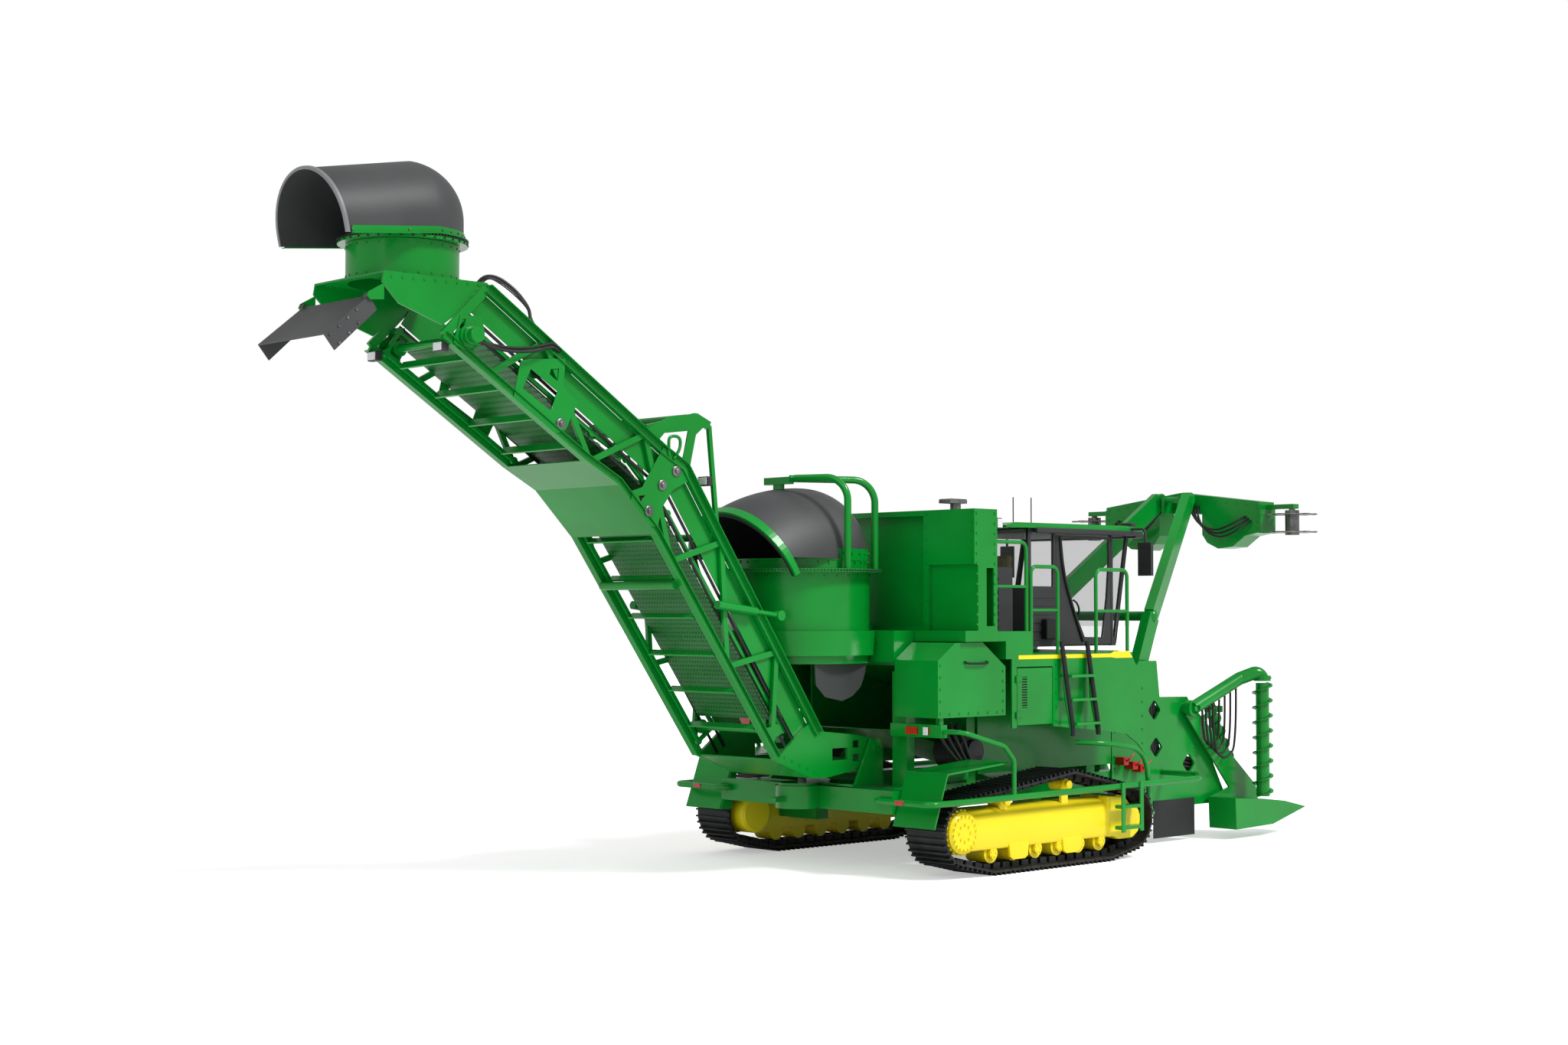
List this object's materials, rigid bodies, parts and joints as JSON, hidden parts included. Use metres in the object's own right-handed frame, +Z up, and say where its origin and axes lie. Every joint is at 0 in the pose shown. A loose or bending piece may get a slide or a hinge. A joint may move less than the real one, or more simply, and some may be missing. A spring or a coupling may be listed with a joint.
{
  "type": "sugarcane harvester",
  "caption": "Tracked sugarcane harvester with a high rear elevator, trash extractors under turning hoods, a cab, crop dividers with scrolls and a topper on a front boom",
  "frame": {"origin": "on the ground under the middle of the machine's box", "axes": "X forward towards the crop dividers, Y to the machine's left, Z up"},
  "size_m": [14.28, 4.1826, 7.19],
  "materials": {
    "green_paint": "gloss",
    "yellow_paint": "gloss",
    "dark_plastic": "matte",
    "black_paint": "satin",
    "track_rubber": "matte",
    "worn_steel": "worn",
    "cast_grey": "rough",
    "cab_glass": "clear",
    "seat_cloth": "woven",
    "red_lens": "gloss"
  },
  "bodies": {
    "chassis": {"main_frame": "green_paint", "track_frames": "yellow_paint", "track_left": "track_rubber", "track_right": "track_rubber", "track_rollers": "black_paint", "feed_housing": "green_paint", "front_frame": "green_paint", "front_flaps": "track_rubber", "deck": "green_paint", "side_panels": "green_paint", "side_lockers": "green_paint", "rear_body": "green_paint", "cooling_tower": "green_paint", "engine_cover": "green_paint", "engine": "cast_grey", "fenders": "green_paint", "side_guards": "green_paint", "ladders": "green_paint", "railings": "green_paint", "tail_lamps": "red_lens", "exhaust": "worn_steel", "cab_frame": "dark_plastic", "cab_glass": "cab_glass", "cab_roof": "green_paint", "seat": "seat_cloth", "console": "black_paint", "mirrors": "dark_plastic", "extractor_housing": "green_paint", "rear_chute": "dark_plastic"},
    "engine_door": {"engine_door": "green_paint"},
    "cab_door": {"cab_door": "dark_plastic", "cab_door_glass": "cab_glass"},
    "primary_fan": {"primary_fan": "black_paint"},
    "primary_hood": {"primary_hood": "dark_plastic", "primary_ring": "green_paint"},
    "slew": {"slew_table": "green_paint"},
    "boom": {"elevator_frame": "green_paint", "elevator_panels": "worn_steel", "elevator_chain": "worn_steel", "lift_mast": "green_paint", "lift_cylinders": "green_paint", "head_box": "green_paint", "secondary_housing": "green_paint"},
    "secondary_fan": {"secondary_fan": "black_paint"},
    "secondary_hood": {"secondary_hood": "dark_plastic"},
    "bin_flap": {"bin_flap": "dark_plastic"},
    "topper_arm": {"topper_arm": "green_paint"},
    "topper_head": {"topper_head": "green_paint"},
    "topper_drum_left": {"topper_drum_left": "worn_steel"},
    "topper_drum_right": {"topper_drum_right": "worn_steel"},
    "divider_left": {"divider_left": "green_paint"},
    "divider_right": {"divider_right": "green_paint"},
    "outer_scroll_left": {"outer_scroll_left": "green_paint"},
    "outer_scroll_right": {"outer_scroll_right": "green_paint"},
    "inner_scroll_left": {"inner_scroll_left": "green_paint"},
    "inner_scroll_right": {"inner_scroll_right": "green_paint"},
    "knockdown_roller": {"knockdown_roller": "green_paint"},
    "base_cutter_left": {"base_cutter_left": "worn_steel"},
    "base_cutter_right": {"base_cutter_right": "worn_steel"}
  },
  "joints": [
    {"name": "elevator_slew", "type": "hinge", "parent": "chassis", "child": "slew", "pos_m": [-0.58, 0, 0.95], "axis": [0, 0, 1], "range_deg": [-75, 75]},
    {"name": "elevator_lift", "type": "hinge", "parent": "slew", "child": "boom", "pos_m": [-0.064, 0, 1.351], "axis": [0, 1, 0], "range_deg": [-6, 2]},
    {"name": "bin_flap_tilt", "type": "hinge", "parent": "boom", "child": "bin_flap", "pos_m": [-6.6, 0, 5.76], "axis": [0, 1, 0], "range_deg": [-40, 30]},
    {"name": "secondary_fan_spin", "type": "hinge", "parent": "boom", "child": "secondary_fan", "pos_m": [-5.86, 0, 6.2], "axis": [0, 0, 1], "continuous": true},
    {"name": "secondary_hood_turn", "type": "hinge", "parent": "boom", "child": "secondary_hood", "pos_m": [-5.86, 0, 6.4], "axis": [0, 0, 1], "range_deg": [-120, 120]},
    {"name": "primary_hood_turn", "type": "hinge", "parent": "chassis", "child": "primary_hood", "pos_m": [-0.58, 0, 3.3], "axis": [0, 0, 1], "range_deg": [-85, 85]},
    {"name": "primary_fan_spin", "type": "hinge", "parent": "chassis", "child": "primary_fan", "pos_m": [-0.58, 0, 2.7], "axis": [0, 0, 1], "continuous": true},
    {"name": "cab_door_swing", "type": "hinge", "parent": "chassis", "child": "cab_door", "pos_m": [2.875, -0.8692, 3], "axis": [0, 0, -1], "range_deg": [0, 58]},
    {"name": "engine_door_swing", "type": "hinge", "parent": "chassis", "child": "engine_door", "pos_m": [1.16, -1.7128, 1.9], "axis": [0, 0, -1], "range_deg": [0, 90]},
    {"name": "topper_lift", "type": "hinge", "parent": "chassis", "child": "topper_arm", "pos_m": [4.35, 0, 2.15], "axis": [0, -1, 0], "range_deg": [-25, 12]},
    {"name": "topper_level", "type": "hinge", "parent": "topper_arm", "child": "topper_head", "pos_m": [6.4, 0, 4.35], "axis": [0, -1, 0], "range_deg": [-15, 28]},
    {"name": "topper_spin_left", "type": "hinge", "parent": "topper_head", "child": "topper_drum_left", "pos_m": [6.76, 1.62, 4], "axis": [0, 0, 1], "continuous": true},
    {"name": "topper_spin_right", "type": "hinge", "parent": "topper_head", "child": "topper_drum_right", "pos_m": [6.76, -1.62, 4], "axis": [0, 0, 1], "continuous": true},
    {"name": "divider_lift_left", "type": "hinge", "parent": "chassis", "child": "divider_left", "pos_m": [5.07, 1.2, 1.65], "axis": [0, -1, 0], "range_deg": [-2, 15]},
    {"name": "divider_lift_right", "type": "hinge", "parent": "chassis", "child": "divider_right", "pos_m": [5.07, -1.2, 1.65], "axis": [0, -1, 0], "range_deg": [-2, 15]},
    {"name": "outer_scroll_spin_left", "type": "hinge", "parent": "divider_left", "child": "outer_scroll_left", "pos_m": [6.23, 1.5, 1.2], "axis": [0, 0, 1], "continuous": true},
    {"name": "outer_scroll_spin_right", "type": "hinge", "parent": "divider_right", "child": "outer_scroll_right", "pos_m": [6.23, -1.5, 1.2], "axis": [0, 0, 1], "continuous": true},
    {"name": "inner_scroll_spin_left", "type": "hinge", "parent": "divider_left", "child": "inner_scroll_left", "pos_m": [5.76, 1.05, 1.56], "axis": [-0.476, 0, 0.8794], "continuous": true},
    {"name": "inner_scroll_spin_right", "type": "hinge", "parent": "divider_right", "child": "inner_scroll_right", "pos_m": [5.76, -1.05, 1.56], "axis": [-0.476, 0, 0.8794], "continuous": true},
    {"name": "knockdown_spin", "type": "hinge", "parent": "chassis", "child": "knockdown_roller", "pos_m": [5.02, 0, 1.5], "axis": [0, 1, 0], "continuous": true},
    {"name": "base_cutter_spin_left", "type": "hinge", "parent": "chassis", "child": "base_cutter_left", "pos_m": [4.25, 0.33, 0.3], "axis": [0, 0, 1], "continuous": true},
    {"name": "base_cutter_spin_right", "type": "hinge", "parent": "chassis", "child": "base_cutter_right", "pos_m": [4.25, -0.33, 0.3], "axis": [0, 0, 1], "continuous": true}
  ],
  "couplings": [
    {"joint": "topper_level", "follows": "topper_lift", "ratio": -1},
    {"joint": "base_cutter_spin_right", "follows": "base_cutter_spin_left", "ratio": -1}
  ]
}
